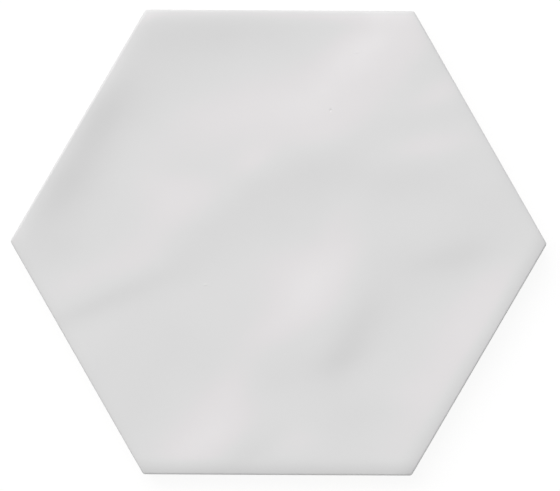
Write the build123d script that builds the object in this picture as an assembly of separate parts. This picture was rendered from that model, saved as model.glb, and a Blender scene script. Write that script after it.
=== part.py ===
from build123d import *
import os
from math import cos, exp, floor, radians, sin, tanh
from typing import NamedTuple

# Hexagon wall tile: one dry-pressed ceramic piece with a softly waved, glazed face.
# Millimetres. The tile lies on its back: the back is on Z = 0 about the origin, the face looks up,
# and two opposite corners are on the X axis.

# Outline
across_flats = 107.4
corner_radius = 0.8

# Section
thickness = 8.6         # from the back to the level that the face rises and falls from
press_line = 4.2        # height where the upright upper side meets the tapered lower side
back_inset = 0.45       # how far the back stands in from the face on every side
back_chamfer = 0.35     # broken edge around the back
rim_radius = 0.40       # rounding where the face turns into the side
ease_width = 4.6        # band along the sides where the face falls off towards its rim
edge_drops = [0.42, 0.24, 0.16, 0.46, 0.54, 0.38]  # fall at each rim, anticlockwise from the upper right

# Keying on the back: straight channels with a rib on the centre line
channel_width = 8.0
channel_depth = 0.6
channel_draft = 30.0    # degrees, the slope of a channel's walls
channel_corner = 1.5
rib_width = 4.0
back_margin = 6.0       # flat land between the channels and the back's edge

# Face surface
surface_step = 2.2      # spacing of the points that the face is drawn through
surface_overhang = 4.0  # how far the surface runs past the outline before it is trimmed
surface_tolerance = 0.005


class Fold(NamedTuple):
    """A soft fold of the face: a strip that slopes, with the face levelling out on both sides of it."""

    x: float
    y: float
    heading: float  # direction of the strip, in degrees from the X axis
    length: float   # spread along the heading
    width: float    # half the width of the strip
    slope: float    # percent on its middle line, above 0 where the face falls to the left of the heading


fold_reach = 25.0       # how far to its sides a fold still lifts or lowers the face
folds = [
    Fold(19.2, 44.6, 43, 12.0, 5.0, 9.0),      # streak from the top right corner
    Fold(31.0, 46.0, 62, 7.0, 4.0, 4.8),       # its right flank
    Fold(19.5, 33.5, 43, 6.0, 4.0, 1.8),       # its lower side
    Fold(-8.5, 29.2, 4, 19.0, 7.6, 5.9),       # broad band under it
    Fold(10.5, 24.5, 15, 8.0, 4.0, 3.0),       # the band's lower right end
    Fold(-6.0, 19.0, 40, 4.0, 3.2, 4.6),       # the band's lower tongue
    Fold(-25.0, 7.5, 45, 7.5, 6.0, 2.6),       # plateau at the left
    Fold(-34.5, -4.5, 15, 10.0, 3.0, 1.0),     # strip above the thin crease
    Fold(-47.0, -9.0, 30, 4.0, 2.5, 1.2),      # the strip's left end
    Fold(11.6, -6.0, 42, 9.0, 5.4, 7.4),       # mound right of the middle
    Fold(15.0, 7.0, 60, 6.5, 4.6, 4.6),        # its upper right end
    Fold(0.0, -19.4, 30, 7.0, 4.4, 4.8),       # its lower left end
    Fold(-15.5, -44.6, 31, 7.6, 4.8, 7.6),     # mound at the bottom
    Fold(-12.0, -35.0, 50, 5.8, 4.4, 5.0),     # its upper end
    Fold(43.2, -20.5, 60, 15.5, 7.8, 7.6),     # band inside the lower right side
    Fold(31.0, -19.5, 60, 6.0, 4.5, 1.6),      # its left flank
    Fold(35.8, 22.8, 8, 9.5, 3.8, 6.2),        # patch at the right
    Fold(37.0, 34.8, 30, 7.0, 3.6, 5.4),       # small patch over it
    Fold(47.5, 15.5, 20, 5.0, 4.0, 2.8),       # patch at the right corner
    Fold(4.0, -46.0, 10, 5.0, 3.2, 3.0),       # small patch at the bottom
    Fold(-41.0, 28.6, 60, 7.2, 4.6, -14.5),    # fall from the upper left side, upper part
    Fold(-50.0, 12.5, 58, 8.0, 5.0, -13.0),    # its lower part
    Fold(-42.5, 19.0, 60, 18.0, 8.0, -5.0),    # its wide foot
    Fold(-18.5, 48.2, 4, 14.0, 5.8, -8.0),     # fall from the top side
    Fold(-22.5, 17.0, -5, 8.5, 3.2, -2.4),     # dip between the broad band and the plateau
    Fold(-37.0, 1.5, 40, 7.0, 4.0, -1.8),      # dip left of the plateau
    Fold(27.5, 28.0, 10, 6.0, 3.0, -1.8),      # dip under the streak
    Fold(7.0, 16.0, 20, 12.0, 4.5, -3.5),      # long diagonal, upper end
    Fold(-14.5, 3.0, 34, 10.0, 5.0, -5.4),     # long diagonal, middle
    Fold(-3.5, 2.0, 36, 7.0, 4.5, -2.2),       # its foot
    Fold(-41.5, -14.4, 24, 10.0, 2.5, -8.8),   # thin crease at the left
    Fold(-24.0, -8.0, 25, 8.0, 3.0, -2.6),     # its right end
    Fold(27.5, 14.0, 0, 7.5, 4.0, -3.8),       # shallow fall at the right
    Fold(17.6, -21.4, 62, 7.4, 4.0, -11.6),    # compact fall behind the mound
    Fold(14.8, -27.0, 20, 5.0, 3.0, -5.8),     # its foot
    Fold(41.0, -3.0, 14, 7.5, 3.7, -8.2),      # crease at the right
    Fold(3.5, -31.0, 10, 9.0, 4.5, -2.4),      # fall at the lower right
    Fold(25.5, -30.5, 15, 6.0, 4.0, -1.8),     # its right end
    Fold(19.5, -40.0, 10, 8.0, 4.5, -3.4),     # faint fall at the bottom right
    Fold(-33.0, -37.5, 58, 12.0, 6.0, -3.4),   # faint fall at the lower left
    Fold(-40.0, -28.5, 60, 9.0, 4.0, -2.2),    # its upper end
    Fold(-7.0, -49.0, 30, 4.5, 2.4, -4.8),     # small fall at the bottom
    Fold(-50.0, -1.0, 30, 8.0, 5.0, -4.0),     # fall at the left corner
]

SIDES = 6
apothem = across_flats / 2
circumradius = apothem / cos(radians(180 / SIDES))
side_normals = [(cos(radians(a)), sin(radians(a))) for a in range(30, 390, 360 // SIDES)]


def hexagon(half_flats):
    """Sharp-cornered hexagon with the given distance from its centre to its sides."""
    return RegularPolygon(half_flats, SIDES, major_radius=False)


def rounded(sketch, radius):
    return fillet(sketch.vertices(), radius)


def fold_height(fold, x, y):
    turn = radians(fold.heading)
    along = (x - fold.x) * cos(turn) + (y - fold.y) * sin(turn)
    across = (y - fold.y) * cos(turn) - (x - fold.x) * sin(turn)
    fade = exp(-((along / fold.length) ** 2 + (across / fold_reach) ** 2) / 2)
    return -fold.slope / 100 * fold.width * tanh(across / fold.width) * fade


def edge_fall(x, y):
    """How far the face has fallen at a point, because of the sides near it."""
    fall = 0.0
    for (nx, ny), drop in zip(side_normals, edge_drops):
        inside = apothem - (nx * x + ny * y)
        if inside < 0:  # past the outline the fall levels off, so that the trimmed surface stays gentle
            inside = surface_overhang * tanh(inside / surface_overhang)
        fall += drop * max(0.0, 1 - inside / ease_width) ** 3
    return fall


def face_height(x, y):
    return thickness + sum(fold_height(fold, x, y) for fold in folds) - edge_fall(x, y)


def spaced(half_length):
    """Evenly spaced values from minus to plus half_length, about surface_step apart."""
    count = floor(2 * half_length / surface_step) + 1
    return [half_length * (2 * i / count - 1) for i in range(count + 1)]


def face_surface():
    columns = spaced(circumradius + surface_overhang)
    rows = spaced(apothem + surface_overhang)
    points = [[(x, y, face_height(x, y)) for x in columns] for y in rows]
    return Face.make_surface_from_array_of_points(points, tol=surface_tolerance)


def blank():
    """The pressed blank, before its face is shaped: broken back edge, tapered side, upright side."""
    side_profile = [
        (0, back_inset + back_chamfer),
        (back_chamfer, back_inset),
        (press_line, 0),
        (1.5 * thickness, 0),
    ]
    outlines = []
    for z, inset in side_profile:
        outlines.append(Pos(0, 0, z) * rounded(hexagon(apothem - inset), corner_radius))
    return loft(outlines, ruled=True)


def keying_channels():
    """The channels in the back, in equal numbers on both sides of the centre rib."""
    field_half = apothem - back_inset - back_margin
    pitch = channel_width + rib_width
    pairs = floor((field_half + rib_width / 2) / pitch)
    field = hexagon(field_half)
    channels = []
    for i in range(pairs):
        for side in (-1, 1):
            strip = Pos(0, side * (i + 0.5) * pitch) * Rectangle(2 * circumradius, channel_width)
            outline = rounded(field & strip, channel_corner)
            channels.append(extrude(outline, channel_depth, taper=channel_draft))
    return channels


def hexagon_tile():
    tile = blank()
    above = extrude(face_surface(), 2 * thickness, dir=(0, 0, 1))
    tile -= above
    face = tile.faces().sort_by(Axis.Z)[-1]
    tile = fillet(face.edges(), rim_radius)
    tile -= keying_channels()
    return tile


if __name__ == "__main__":
    os.makedirs("parts", exist_ok=True)
    export_step(hexagon_tile(), "parts/hexagon_tile.step")
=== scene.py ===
from math import cos, pi, radians, sin, tan
from typing import NamedTuple

import bmesh
import bpy
import numpy as np
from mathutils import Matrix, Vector


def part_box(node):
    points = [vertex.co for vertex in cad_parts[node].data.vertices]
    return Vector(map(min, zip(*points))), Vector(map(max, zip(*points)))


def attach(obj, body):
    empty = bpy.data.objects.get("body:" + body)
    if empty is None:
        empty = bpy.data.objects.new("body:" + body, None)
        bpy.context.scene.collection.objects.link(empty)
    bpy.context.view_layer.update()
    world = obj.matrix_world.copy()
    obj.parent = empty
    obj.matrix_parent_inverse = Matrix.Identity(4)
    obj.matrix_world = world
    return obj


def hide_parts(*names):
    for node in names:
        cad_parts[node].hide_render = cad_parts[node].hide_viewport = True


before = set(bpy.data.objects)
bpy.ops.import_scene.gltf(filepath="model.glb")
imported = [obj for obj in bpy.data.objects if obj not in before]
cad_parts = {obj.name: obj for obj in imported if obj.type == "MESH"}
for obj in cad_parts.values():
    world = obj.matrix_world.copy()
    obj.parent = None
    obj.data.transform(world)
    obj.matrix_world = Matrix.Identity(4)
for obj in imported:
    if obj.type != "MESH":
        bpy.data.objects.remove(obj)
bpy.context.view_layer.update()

# Hexagon wall tile: a softly waved satin white glaze over the face and the top of the sides, bare fired
# body below it and on the back. Sizes are in millimetres, and MM turns them into metres.
MM = 0.001
WHITE = (1, 1, 1, 1)
NODE = "hexagon_tile"
node_low, node_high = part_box(NODE)

# Outline
apothem = (node_high.y - node_low.y) / 2 / MM
corner_radius = 0.8
side_angles = [30, 90, 150, 210, 270, 330]
SIDES = len(side_angles)

# Section
thickness = 8.6         # from the back to the level that the face rises and falls from
press_line = 4.2        # height where the upright upper side meets the tapered lower side
back_inset = 0.45       # how far the back stands in from the face on every side
back_chamfer = 0.35     # broken edge around the back
rim_radius = 0.40       # rounding where the face turns into the side
ease_width = 4.6        # band along the sides where the face falls off towards its rim
edge_drops = [0.42, 0.24, 0.16, 0.46, 0.54, 0.38]  # fall at each rim, in the order of side_angles

# Keying on the back: straight channels with a rib on the centre line
channel_width = 8.0
channel_depth = 0.6
channel_draft = 30.0    # degrees, the slope of a channel's walls
channel_corner = 1.5
channel_softness = 0.1  # rounding of a channel's edges
rib_width = 4.0
back_margin = 6.0       # flat land between the channels and the back's edge

# Glaze: on the sides it stands proud of the bare body and ends in a wavering line. Each wave of the line
# has its height, how many of it go round the tile, and its phase in radians.
glaze_thickness = 0.07
glaze_line = 6.25       # mean height of the line
glaze_blur = 0.22       # height over which the glaze thins out
line_waves = [(0.28, 5, 0.6), (0.17, 13, 2.0), (0.11, 31, 4.1), (0.06, 67, 1.2)]
# Painted light: the glaze is tinted warmer on the slopes that face the key, in place of a warm key light
painted_light_heading = 120.0    # degrees, the way towards the key light; slopes of the face that lean this way get a painted warm tint
full_painted_warmth = 0.05        # slope at which the painted warm tint of the key light is strongest
painted_warmth_margin = 1.4       # band along the rim where the painted warm tint fades out

# Mesh
face_rings = 118        # from the centre to the rim, and points to a side in the outermost
rim_steps = 8
upright_steps = 20
taper_shares = [0.04, 0.31, 0.62, 0.88, 0.97, 1.0]        # rings down the tapered side
chamfer_shares = [(0.75, 0.15), (0.25, 0.65), (0.0, 1.0)]  # of the broken edge's height and inset
land_border = 0.2       # ring that keeps the land flat up to the broken edge
arc_steps = 6           # in a corner of a channel
corner_grade = 0.3      # spacing at the corners as a share of the spacing along the sides
rim_grade = 0.35        # the same for the rings near the rim
grade_reach = 0.05      # share of the length over which the spacing closes up
graded_rings = 0.2      # share of the rings over which the corners become graded
mark_patch = 1.4        # radius of the finer mesh round a mark
mark_cuts = 5           # how many times each edge of it is cut

# Light: a soft key from the upper left, low enough to show the folds, and an even fill
key_level = 0.65        # light on the level face, as a share of what makes white look white
fill_level = 0.31       # the same, from all round
key_elevation = 52.0    # degrees
key_azimuth = 120.0
key_softness = 60.0
floor_size = 12000.0
floor_gap = 0.02        # keeps the floor's plane apart from the land of the back
floor_tone = 0.8        # share of the light that the floor throws back at the tile
floor_glow = 0.91       # white of the floor as it is seen, which no shadow reaches
floor_shade = 0.11      # the rest of its white, which the tile can shade

# Camera: straight above the tile, with a long lens
picture_width, picture_height = 560, 491  # pixels
pixels_per_mm = 4.327
tile_centre_pixel = (278.56, 242.64)
tile_roll = 0.3017      # degrees, how far the tile is turned clockwise in the picture
outline_level = 7.9     # height at which the tile looks widest from above
lens = 500.0
sensor = 36.0
camera_reach = 100000.0


class Fold(NamedTuple):
    """A soft fold of the face: a strip that slopes, with the face levelling out on both sides of it."""

    x: float
    y: float
    heading: float  # direction of the strip, in degrees from the X axis
    length: float   # spread along the heading
    width: float    # half the width of the strip
    slope: float    # percent on its middle line, above 0 where the face falls to the left of the heading


fold_reach = 25.0       # how far to its sides a fold still lifts or lowers the face
folds = [
    Fold(19.2, 44.6, 43, 12.0, 5.0, 9.0),      # streak from the top right corner
    Fold(31.0, 46.0, 62, 7.0, 4.0, 4.8),       # its right flank
    Fold(19.5, 33.5, 43, 6.0, 4.0, 1.8),       # its lower side
    Fold(-8.5, 29.2, 4, 19.0, 7.6, 5.9),       # broad band under it
    Fold(10.5, 24.5, 15, 8.0, 4.0, 3.0),       # the band's lower right end
    Fold(-6.0, 19.0, 40, 4.0, 3.2, 4.6),       # the band's lower tongue
    Fold(-25.0, 7.5, 45, 7.5, 6.0, 2.6),       # plateau at the left
    Fold(-34.5, -4.5, 15, 10.0, 3.0, 1.0),     # strip above the thin crease
    Fold(-47.0, -9.0, 30, 4.0, 2.5, 1.2),      # the strip's left end
    Fold(11.6, -6.0, 42, 9.0, 5.4, 7.4),       # mound right of the middle
    Fold(15.0, 7.0, 60, 6.5, 4.6, 4.6),        # its upper right end
    Fold(0.0, -19.4, 30, 7.0, 4.4, 4.8),       # its lower left end
    Fold(-15.5, -44.6, 31, 7.6, 4.8, 7.6),     # mound at the bottom
    Fold(-12.0, -35.0, 50, 5.8, 4.4, 5.0),     # its upper end
    Fold(43.2, -20.5, 60, 15.5, 7.8, 7.6),     # band inside the lower right side
    Fold(31.0, -19.5, 60, 6.0, 4.5, 1.6),      # its left flank
    Fold(35.8, 22.8, 8, 9.5, 3.8, 6.2),        # patch at the right
    Fold(37.0, 34.8, 30, 7.0, 3.6, 5.4),       # small patch over it
    Fold(47.5, 15.5, 20, 5.0, 4.0, 2.8),       # patch at the right corner
    Fold(4.0, -46.0, 10, 5.0, 3.2, 3.0),       # small patch at the bottom
    Fold(-41.0, 28.6, 60, 7.2, 4.6, -14.5),    # fall from the upper left side, upper part
    Fold(-50.0, 12.5, 58, 8.0, 5.0, -13.0),    # its lower part
    Fold(-42.5, 19.0, 60, 18.0, 8.0, -5.0),    # its wide foot
    Fold(-18.5, 48.2, 4, 14.0, 5.8, -8.0),     # fall from the top side
    Fold(-22.5, 17.0, -5, 8.5, 3.2, -2.4),     # dip between the broad band and the plateau
    Fold(-37.0, 1.5, 40, 7.0, 4.0, -1.8),      # dip left of the plateau
    Fold(27.5, 28.0, 10, 6.0, 3.0, -1.8),      # dip under the streak
    Fold(7.0, 16.0, 20, 12.0, 4.5, -3.5),      # long diagonal, upper end
    Fold(-14.5, 3.0, 34, 10.0, 5.0, -5.4),     # long diagonal, middle
    Fold(-3.5, 2.0, 36, 7.0, 4.5, -2.2),       # its foot
    Fold(-41.5, -14.4, 24, 10.0, 2.5, -8.8),   # thin crease at the left
    Fold(-24.0, -8.0, 25, 8.0, 3.0, -2.6),     # its right end
    Fold(27.5, 14.0, 0, 7.5, 4.0, -3.8),       # shallow fall at the right
    Fold(17.6, -21.4, 62, 7.4, 4.0, -11.6),    # compact fall behind the mound
    Fold(14.8, -27.0, 20, 5.0, 3.0, -5.8),     # its foot
    Fold(41.0, -3.0, 14, 7.5, 3.7, -8.2),      # crease at the right
    Fold(3.5, -31.0, 10, 9.0, 4.5, -2.4),      # fall at the lower right
    Fold(25.5, -30.5, 15, 6.0, 4.0, -1.8),     # its right end
    Fold(19.5, -40.0, 10, 8.0, 4.5, -3.4),     # faint fall at the bottom right
    Fold(-33.0, -37.5, 58, 12.0, 6.0, -3.4),   # faint fall at the lower left
    Fold(-40.0, -28.5, 60, 9.0, 4.0, -2.2),    # its upper end
    Fold(-7.0, -49.0, 30, 4.5, 2.4, -4.8),     # small fall at the bottom
    Fold(-50.0, -1.0, 30, 8.0, 5.0, -4.0),     # fall at the left corner
]


class Mark(NamedTuple):
    """A pinhole in the glaze (height below 0) or a grain under it (above 0)."""

    x: float
    y: float
    heading: float  # direction of its longer side, in degrees from the X axis
    length: float
    width: float
    height: float


marks = [
    Mark(11.86, 30.66, 90, 0.17, 0.11, -0.16),
    Mark(-16.80, -9.82, 0, 0.30, 0.11, 0.050),
    Mark(17.90, 44.00, 0, 0.18, 0.12, 0.040),
]


class Spots(NamedTuple):
    """Spots cut from noise: a value that goes from low to high as the noise goes from start to full."""

    size: float
    low: float = 0.0
    high: float = 1.0
    start: float = 0.3  # most noise lies between 0.3 and 0.7
    full: float = 0.7
    detail: float = 2.0


# Finish of the glaze. All colours are linear, and a pair is the darker and the lighter of its spots.
clouds = Spots(22.0)
# The first pair is the glaze's own colour; the second is painted light, the glaze as the warm key light would
# tint it on slopes facing it
base_glaze_tones = [(0.695, 0.694, 0.695, 1), (0.705, 0.704, 0.705, 1)]
painted_lit_glaze_tones = [(0.707, 0.690, 0.697, 1), (0.717, 0.700, 0.707, 1)]
satin = Spots(6.0, low=0.36, high=0.46)     # roughness
peel = Spots(2.4, high=0.03)                # as a share of bump_height
drops = Spots(0.67, start=0.66, full=0.70)  # splashes of glaze on the bare side
splash_low = 3.0                            # height below which there are none
splash_high = 6.0                           # height from which they are whole

# Finish of the bare body
mottle = Spots(2.0, detail=4.0)
ivory = [(0.66, 0.61, 0.53, 1), (0.73, 0.685, 0.61, 1)]
specks = Spots(0.4, high=0.55, start=0.68, full=0.74)
speck_colour = (0.40, 0.33, 0.26, 1)
kiln_wash = Spots(7.7, high=0.8, start=0.40, full=0.62, detail=4.0)
wash_colour = (0.76, 0.74, 0.70, 1)
wash_low = 0.02         # height up to which the kiln wash is whole
wash_high = 0.2         # height from which there is none
dry_roughness = 0.92
grain = Spots(0.42, high=0.3, detail=3.0)   # as a share of bump_height
bump_height = 0.1


def from_line(x, y, shape):
    """Distances along and to the left of the line of a fold or mark."""
    turn = radians(shape.heading)
    along = (x - shape.x) * cos(turn) + (y - shape.y) * sin(turn)
    across = (y - shape.y) * cos(turn) - (x - shape.x) * sin(turn)
    return along, across


def from_side(x, y, angle):
    """Distance inwards from the side that faces the given angle."""
    return apothem - x * cos(radians(angle)) - y * sin(radians(angle))


def face_height(x, y):
    """Height of the face above the back, without its marks."""
    height = np.full_like(x, thickness)
    for fold in folds:
        along, across = from_line(x, y, fold)
        fade = np.exp(-((along / fold.length) ** 2 + (across / fold_reach) ** 2) / 2)
        height -= fold.slope / 100 * fold.width * np.tanh(across / fold.width) * fade
    for angle, drop in zip(side_angles, edge_drops):
        height -= drop * np.maximum(0, 1 - from_side(x, y, angle) / ease_width) ** 3
    return height


def mark_height(x, y):
    """What the marks add to the height of the face."""
    height = np.zeros_like(x)
    for mark in marks:
        along, across = from_line(x, y, mark)
        height += mark.height * np.exp(-((along / mark.length) ** 2 + (across / mark.width) ** 2) / 2)
    return height


def smooth_step(t):
    """Goes from 0 to 1 as t does, with a soft start and end."""
    t = np.clip(t, 0, 1)
    return t * t * (3 - 2 * t)


def glaze_share(x, y, z):
    """1 where the surface is glazed, 0 where it is bare."""
    angle = np.arctan2(y, x)
    line = glaze_line + sum(height * np.sin(number * angle + phase) for height, number, phase in line_waves)
    return smooth_step((z - line) / glaze_blur + 0.5)


def painted_warmth_share(x, y):
    """Share of painted warm light: 1 where the face leans well towards the key light at
    painted_light_heading, 0 where it is level or leans away, and at its rim.
    """
    step = 0.2  # half the length that the slope is taken over
    dx, dy = step * cos(radians(painted_light_heading)), step * sin(radians(painted_light_heading))
    slope = (face_height(x - dx, y - dy) - face_height(x + dx, y + dy)) / (2 * step)
    inside = np.min([from_side(x, y, angle) for angle in side_angles], axis=0)
    return smooth_step(slope / full_painted_warmth) * smooth_step(inside / painted_warmth_margin)


def graded(share, grade):
    """Shares from 0 to 1 drawn together near 0, where their spacing is grade times as wide."""
    pull = (1 - grade) * grade_reach
    whole = 1 - pull * (1 - np.exp(-1 / grade_reach))
    return (share - pull * (1 - np.exp(-share / grade_reach))) / whole


def ring(inset, count, grade=corner_grade):
    """Points round the outline, set in by inset, count to a side, as complex numbers x + iy."""
    radius = max(0.0, corner_radius - inset)
    half_flats = apothem - inset
    half_turn = pi / SIDES  # of a corner
    straight = (half_flats - radius) * tan(half_turn)
    half_side = straight + radius * half_turn
    t = np.arange(count) / count
    share = np.where(t < 0.5, graded(2 * t, grade) - 1, 1 - graded(2 - 2 * t, grade))
    along = share * half_side
    past = np.maximum(0, np.abs(along) - straight)
    bend = past / radius if radius > 0 else past
    out = half_flats - radius + radius * np.cos(bend)
    side = out + 1j * np.sign(along) * (np.minimum(np.abs(along), straight) + radius * np.sin(bend))
    return np.concatenate([side * np.exp(1j * radians(angle)) for angle in side_angles])


class TileMesh:
    """Vertices and faces of the tile, gathered ring by ring."""

    def __init__(self):
        self.points = []
        self.faces = []

    def add(self, flat, z):
        """Adds a ring of points and returns their numbers."""
        first = len(self.points)
        heights = np.broadcast_to(z, flat.shape)
        self.points.extend(zip(flat.real, flat.imag, heights))
        return list(range(first, first + len(flat)))

    def strip(self, inner, outer):
        """Joins two rings of as many points."""
        count = len(inner)
        for i in range(count):
            j = (i + 1) % count
            self.faces.append((inner[i], outer[i], outer[j], inner[j]))

    def lattice(self, inner, outer):
        """Joins a ring to the next one out, which has one more point to a side."""
        many = len(outer) // SIDES
        few = many - 1
        for side in range(SIDES):
            outside = [outer[(side * many + i) % len(outer)] for i in range(many + 1)]
            inside = [inner[(side * few + i) % len(inner)] for i in range(many)]
            for i in range(many):
                self.faces.append((outside[i], outside[i + 1], inside[i]))
            for i in range(few):
                self.faces.append((outside[i + 1], inside[i + 1], inside[i]))


def add_face(mesh):
    """The waved face, from its centre to where the rim starts to round over."""
    centre = np.zeros(1, complex)
    inner = mesh.add(centre, face_height(centre.real, centre.imag))
    for k in range(1, face_rings + 1):
        to_rim = 1 - k / face_rings
        inset = rim_radius + (apothem - rim_radius) * graded(to_rim, rim_grade)
        grade = 1 - (1 - corner_grade) * max(0.0, 1 - to_rim / graded_rings)
        flat = ring(inset, k, grade)
        outer = mesh.add(flat, face_height(flat.real, flat.imag))
        if k == 1:
            mesh.faces.extend((outer[i - 1], outer[i], inner[0]) for i in range(SIDES))
        else:
            mesh.lattice(inner, outer)
        inner = outer
    return inner


def below_press_line():
    """Heights and insets of the rings from the press line down to the edge of the land."""
    rings = [(press_line - t * (press_line - back_chamfer), t * back_inset) for t in taper_shares]
    rings += [(high * back_chamfer, back_inset + inward * back_chamfer) for high, inward in chamfer_shares]
    rings.append((0.0, back_inset + back_chamfer + land_border))
    return rings


def add_sides(mesh, inner):
    """The rounded rim, the upright and the tapered side and the broken back edge."""
    for step in range(1, rim_steps + 1):
        turn = step / rim_steps * pi / 2
        flat = ring(rim_radius * (1 - sin(turn)), face_rings)
        top = face_height(flat.real, flat.imag) - rim_radius * (1 - cos(turn))
        outer = mesh.add(flat, top)
        mesh.strip(inner, outer)
        inner = outer
    # From here top is where the rounding ends and the upright side starts.
    glazed, bare = ring(0, face_rings), ring(glaze_thickness, face_rings)
    for step in range(1, upright_steps + 1):
        z = top + (press_line - top) * step / upright_steps
        share = glaze_share(glazed.real, glazed.imag, z)
        outer = mesh.add(bare + (glazed - bare) * share, z)
        mesh.strip(inner, outer)
        inner = outer
    for z, inset in below_press_line():
        outer = mesh.add(ring(glaze_thickness + inset, face_rings), z)
        mesh.strip(inner, outer)
        inner = outer


def channel_ring(low, high, offset):
    """A keying channel's outline between two places on the Y axis, grown by offset."""
    field = apothem - back_inset - back_margin + offset
    sign = 1 if low + high > 0 else -1
    near, far = sorted((abs(low), abs(high)))
    near, far = near - offset, far + offset
    near_width, far_width = [(field - y / 2) / cos(pi / SIDES) for y in (near, far)]  # half the field's
    corners = [
        complex(near_width, near),
        complex(far_width, far),
        complex(-far_width, far),
        complex(-near_width, near),
    ]
    radius = channel_corner + offset
    points = []
    for i, corner in enumerate(corners):
        before, after = corners[i - 1] - corner, corners[(i + 1) % len(corners)] - corner
        before, after = before / abs(before), after / abs(after)
        half_angle = np.angle(before / after) / 2
        middle = (before + after) / abs(before + after)
        centre = corner + middle * radius / sin(half_angle)
        start = np.angle(corner + before * radius / tan(half_angle) - centre)
        turn = (pi - 2 * half_angle) / arc_steps
        points.extend(centre + radius * np.exp(1j * (start + turn * k)) for k in range(arc_steps + 1))
    points = np.array(points)
    return points if sign > 0 else points.conj()[::-1]


def channel_section():
    """Offsets from a channel's outline and heights of its soft-edged rings, from the land to its floor."""
    soft = channel_softness
    foot = -channel_depth * tan(radians(channel_draft))
    return [
        (3 * soft, 0.0),
        (soft, 0.0),
        (0.2 * soft, 0.3 * soft),
        (-0.5 * soft, soft),
        (foot + 0.6 * soft, channel_depth - soft),
        (foot - 0.4 * soft, channel_depth - 0.2 * soft),
        (foot - 1.4 * soft, channel_depth),
    ]


def add_channels(mesh):
    """The keying channels, in equal numbers on both sides of the centre rib."""
    pitch = channel_width + rib_width
    pairs = int((apothem - back_inset - back_margin + rib_width / 2) / pitch)
    for i in range(pairs):
        for side in (-1, 1):
            middle = side * (i + 0.5) * pitch
            low, high = middle - channel_width / 2, middle + channel_width / 2
            rings = [mesh.add(channel_ring(low, high, offset), z) for offset, z in channel_section()]
            for outer, inner in zip(rings, rings[1:]):
                mesh.strip(outer, inner)
            mesh.faces.append(tuple(rings[-1]))


def fill_land(edit):
    """Fills the land of the back, the only opening in the mesh, with the channels as holes in it."""
    borders = [edge for edge in edit.edges if edge.is_boundary]
    bmesh.ops.triangle_fill(edit, edges=borders, use_beauty=True, normal=(0, 0, -1))


def near_mark(edit, mark):
    """The vertices of the face that are close to a mark."""
    centre = Vector((mark.x, mark.y)) * MM
    on_face = [vertex for vertex in edit.verts if vertex.co.z > thickness / 2 * MM]
    return [vertex for vertex in on_face if (vertex.co.xy - centre).length < mark_patch * MM]


def add_marks(edit):
    """Cuts the face finer round each mark and shapes the mark."""
    for mark in marks:
        near = set(near_mark(edit, mark))
        edges = [edge for edge in edit.edges if near.issuperset(edge.verts)]
        bmesh.ops.subdivide_edges(edit, edges=edges, cuts=mark_cuts, use_grid_fill=True)
        finer = near_mark(edit, mark)
        x, y = (np.array([vertex.co.xy for vertex in finer]) / MM).T
        for vertex, z in zip(finer, face_height(x, y) + mark_height(x, y)):
            vertex.co.z = z * MM


def add_attribute(data, name, values):
    attribute = data.attributes.new(name, "FLOAT", "POINT")
    attribute.data.foreach_set("value", values.astype(np.float32))


def add_object(name, data):
    thing = bpy.data.objects.new(name, data)
    bpy.context.scene.collection.objects.link(thing)
    return thing


def tile_object(material):
    """The whole tile as one closed mesh, with the shares of glaze and of painted warm light kept at its
    points.
    """
    shape = TileMesh()
    rim = add_face(shape)
    add_sides(shape, rim)
    add_channels(shape)
    data = bpy.data.meshes.new("ceramic_tile")
    data.from_pydata((np.array(shape.points) * MM).tolist(), [], shape.faces)
    edit = bmesh.new()
    edit.from_mesh(data)
    fill_land(edit)
    bmesh.ops.recalc_face_normals(edit, faces=edit.faces)
    add_marks(edit)
    bmesh.ops.triangulate(edit, faces=[face for face in edit.faces if len(face.verts) > 4])
    edit.to_mesh(data)
    edit.free()
    data.shade_smooth()
    x, y, z = (np.array([vertex.co for vertex in data.vertices]) / MM).T
    add_attribute(data, "glaze", glaze_share(x, y, z))
    # share of painted warm light on the slopes that face the key
    add_attribute(data, "painted_warmth", painted_warmth_share(x, y))
    data.materials.append(material)
    return add_object("ceramic_tile", data)


def add_node(tree, kind, **values):
    """Adds a shader node and sets its input values by name, or its own settings."""
    node = tree.nodes.new(kind)
    for name, value in values.items():
        socket = node.inputs.get(name.replace("_", " "))
        if socket is None:
            setattr(node, name, value)
        else:
            socket.default_value = value
    return node


def feed(tree, socket, source):
    """Links a socket to another node's output, or sets it to a plain value."""
    if isinstance(source, bpy.types.NodeSocket):
        tree.links.new(source, socket)
    else:
        socket.default_value = source


def spread(tree, value, start, full, low, high):
    """Spreads the values from start to full over low to high, and holds them there."""
    node = add_node(tree, "ShaderNodeMapRange", From_Min=start, From_Max=full, To_Min=low, To_Max=high)
    feed(tree, node.inputs["Value"], value)
    return node.outputs["Result"]


def spotted(tree, place, spots):
    """A value that varies over the surface in the given spots."""
    noise = add_node(tree, "ShaderNodeTexNoise", Scale=1 / (spots.size * MM), Detail=spots.detail)
    feed(tree, noise.inputs["Vector"], place)
    return spread(tree, noise.outputs["Fac"], spots.start, spots.full, spots.low, spots.high)


def mix(tree, kind, sockets, result, sources):
    """Mixes by a share, the first of its three sources, through the mix node's sockets for the given kind."""
    node = add_node(tree, "ShaderNodeMix", data_type=kind)
    for socket, source in zip(sockets, sources):
        feed(tree, node.inputs[socket], source)
    return node.outputs[result]


def mix_colours(tree, share, first, second):
    return mix(tree, "RGBA", (0, 6, 7), 2, (share, first, second))


def mix_values(tree, share, first, second):
    return mix(tree, "FLOAT", (0, 2, 3), 0, (share, first, second))


def calculate(tree, operation, first, second):
    node = add_node(tree, "ShaderNodeMath", operation=operation)
    feed(tree, node.inputs[0], first)
    feed(tree, node.inputs[1], second)
    return node.outputs["Value"]


def point_value(tree, name):
    return add_node(tree, "ShaderNodeAttribute", attribute_name=name).outputs["Fac"]


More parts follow.
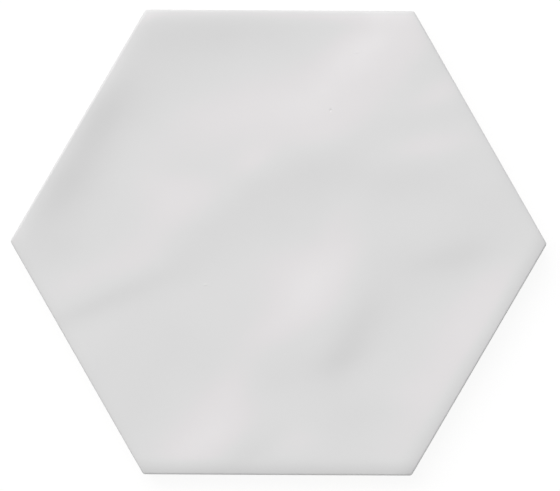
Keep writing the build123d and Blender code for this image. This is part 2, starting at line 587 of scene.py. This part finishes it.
def glaze_cover(tree, place, level):
    """1 under the glaze, with drops of it on the bare side that thin out downwards."""
    near_line = spread(tree, level, splash_low * MM, splash_high * MM, 0.0, 1.0)
    splashes = calculate(tree, "MULTIPLY", spotted(tree, place, drops), near_line)
    return calculate(tree, "MAXIMUM", point_value(tree, "glaze"), splashes)


def glaze_colour(tree, place):
    """A faintly cloudy white, with a painted warm tint standing in for the key light on the slopes that lean
    to the upper left.
    """
    cloud = spotted(tree, place, clouds)
    base_tone = mix_colours(tree, cloud, *base_glaze_tones)
    painted_warm_tone = mix_colours(tree, cloud, *painted_lit_glaze_tones)
    return mix_colours(tree, point_value(tree, "painted_warmth"), base_tone, painted_warm_tone)


def body_colour(tree, place, level):
    """Mottled ivory with darker specks, and pale kiln wash rubbed on the land of the back."""
    mottled = mix_colours(tree, spotted(tree, place, mottle), *ivory)
    speckled = mix_colours(tree, spotted(tree, place, specks), mottled, speck_colour)
    on_land = spread(tree, level, wash_low * MM, wash_high * MM, 1.0, 0.0)
    rubbed = calculate(tree, "MULTIPLY", spotted(tree, place, kiln_wash), on_land)
    return mix_colours(tree, rubbed, speckled, wash_colour)


def ceramic():
    """Satin white glaze over a pale, dry fired body."""
    material = bpy.data.materials.new("glazed_ceramic")
    material.use_nodes = True
    tree = material.node_tree
    shader = tree.nodes["Principled BSDF"]
    place = add_node(tree, "ShaderNodeTexCoord").outputs["Object"]
    axes = add_node(tree, "ShaderNodeSeparateXYZ")
    feed(tree, axes.inputs[0], place)
    level = axes.outputs["Z"]
    glazed = glaze_cover(tree, place, level)

    colour = mix_colours(tree, glazed, body_colour(tree, place, level), glaze_colour(tree, place))
    feed(tree, shader.inputs["Base Color"], colour)

    roughness = mix_values(tree, glazed, dry_roughness, spotted(tree, place, satin))
    feed(tree, shader.inputs["Roughness"], roughness)

    relief = mix_values(tree, glazed, spotted(tree, place, grain), spotted(tree, place, peel))
    bump = add_node(tree, "ShaderNodeBump", Distance=bump_height * MM)
    feed(tree, bump.inputs["Height"], relief)
    feed(tree, shader.inputs["Normal"], bump.outputs["Normal"])
    return material


def seen_directly(tree):
    """1 for rays from the camera, from gloss and through glass, 0 for the light on surfaces."""
    path = add_node(tree, "ShaderNodeLightPath").outputs
    gloss_or_glass = calculate(tree, "MAXIMUM", path["Is Glossy Ray"], path["Is Transmission Ray"])
    return calculate(tree, "MAXIMUM", path["Is Camera Ray"], gloss_or_glass)


def show(tree, lighting, seen, output):
    """Gives an output one shader for the light on surfaces and another for what is seen directly."""
    either = add_node(tree, "ShaderNodeMixShader")
    for socket, source in zip(either.inputs, (seen_directly(tree), lighting, seen)):
        feed(tree, socket, source)
    feed(tree, tree.nodes[output].inputs["Surface"], either.outputs[0])


def add_floor():
    """A white floor that keeps a faint shadow of the tile."""
    half = floor_size / 2 * MM
    data = bpy.data.meshes.new("floor")
    corners = [(-half, -half, 0), (half, -half, 0), (half, half, 0), (-half, half, 0)]
    data.from_pydata(corners, [], [(0, 1, 2, 3)])
    floor = add_object("floor", data)
    floor.location.z = node_low.z - floor_gap * MM
    material = bpy.data.materials.new("white_floor")
    material.use_nodes = True
    tree = material.node_tree
    tree.nodes.remove(tree.nodes["Principled BSDF"])
    plain = add_node(tree, "ShaderNodeBsdfDiffuse", Color=(floor_tone, floor_tone, floor_tone, 1))
    shaded = add_node(tree, "ShaderNodeBsdfDiffuse", Color=(floor_shade, floor_shade, floor_shade, 1))
    glow = add_node(tree, "ShaderNodeEmission", Color=WHITE, Strength=floor_glow)
    white = add_node(tree, "ShaderNodeAddShader")
    feed(tree, white.inputs[0], shaded.outputs[0])
    feed(tree, white.inputs[1], glow.outputs[0])
    show(tree, plain.outputs[0], white.outputs[0], "Material Output")
    data.materials.append(material)


def add_light():
    """A soft sun as the key, and a white world as the fill, which is seen as plain white."""
    sun = bpy.data.lights.new("key", "SUN")
    sun.energy = pi * key_level / sin(radians(key_elevation))
    sun.angle = radians(key_softness)
    key = add_object("key", sun)
    key.rotation_euler = (0, radians(90 - key_elevation), radians(key_azimuth))

    world = bpy.data.worlds.new("fill")
    bpy.context.scene.world = world
    world.use_nodes = True
    tree = world.node_tree
    fill = tree.nodes["Background"]
    fill.inputs["Color"].default_value = WHITE
    fill.inputs["Strength"].default_value = fill_level
    white = add_node(tree, "ShaderNodeBackground", Color=WHITE, Strength=1.0)
    show(tree, fill.outputs[0], white.outputs[0], "World Output")


def add_camera():
    """Looks straight down, with the tile where the picture has it."""
    data = bpy.data.cameras.new("camera")
    data.lens = lens
    data.sensor_width = sensor
    data.sensor_fit = "HORIZONTAL"
    data.clip_end = camera_reach * MM
    right = (picture_width / 2 - tile_centre_pixel[0]) / pixels_per_mm
    up = (tile_centre_pixel[1] - picture_height / 2) / pixels_per_mm
    distance = lens * picture_width / (sensor * pixels_per_mm)
    camera = add_object("camera", data)
    camera.location = (right * MM, up * MM, (outline_level + distance) * MM)
    camera.rotation_euler = (0, 0, radians(tile_roll))
    bpy.context.scene.camera = camera


tile = tile_object(ceramic())
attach(tile, "root")
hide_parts(NODE)
add_floor()
add_light()
add_camera()
bpy.context.scene.view_settings.view_transform = "Standard"
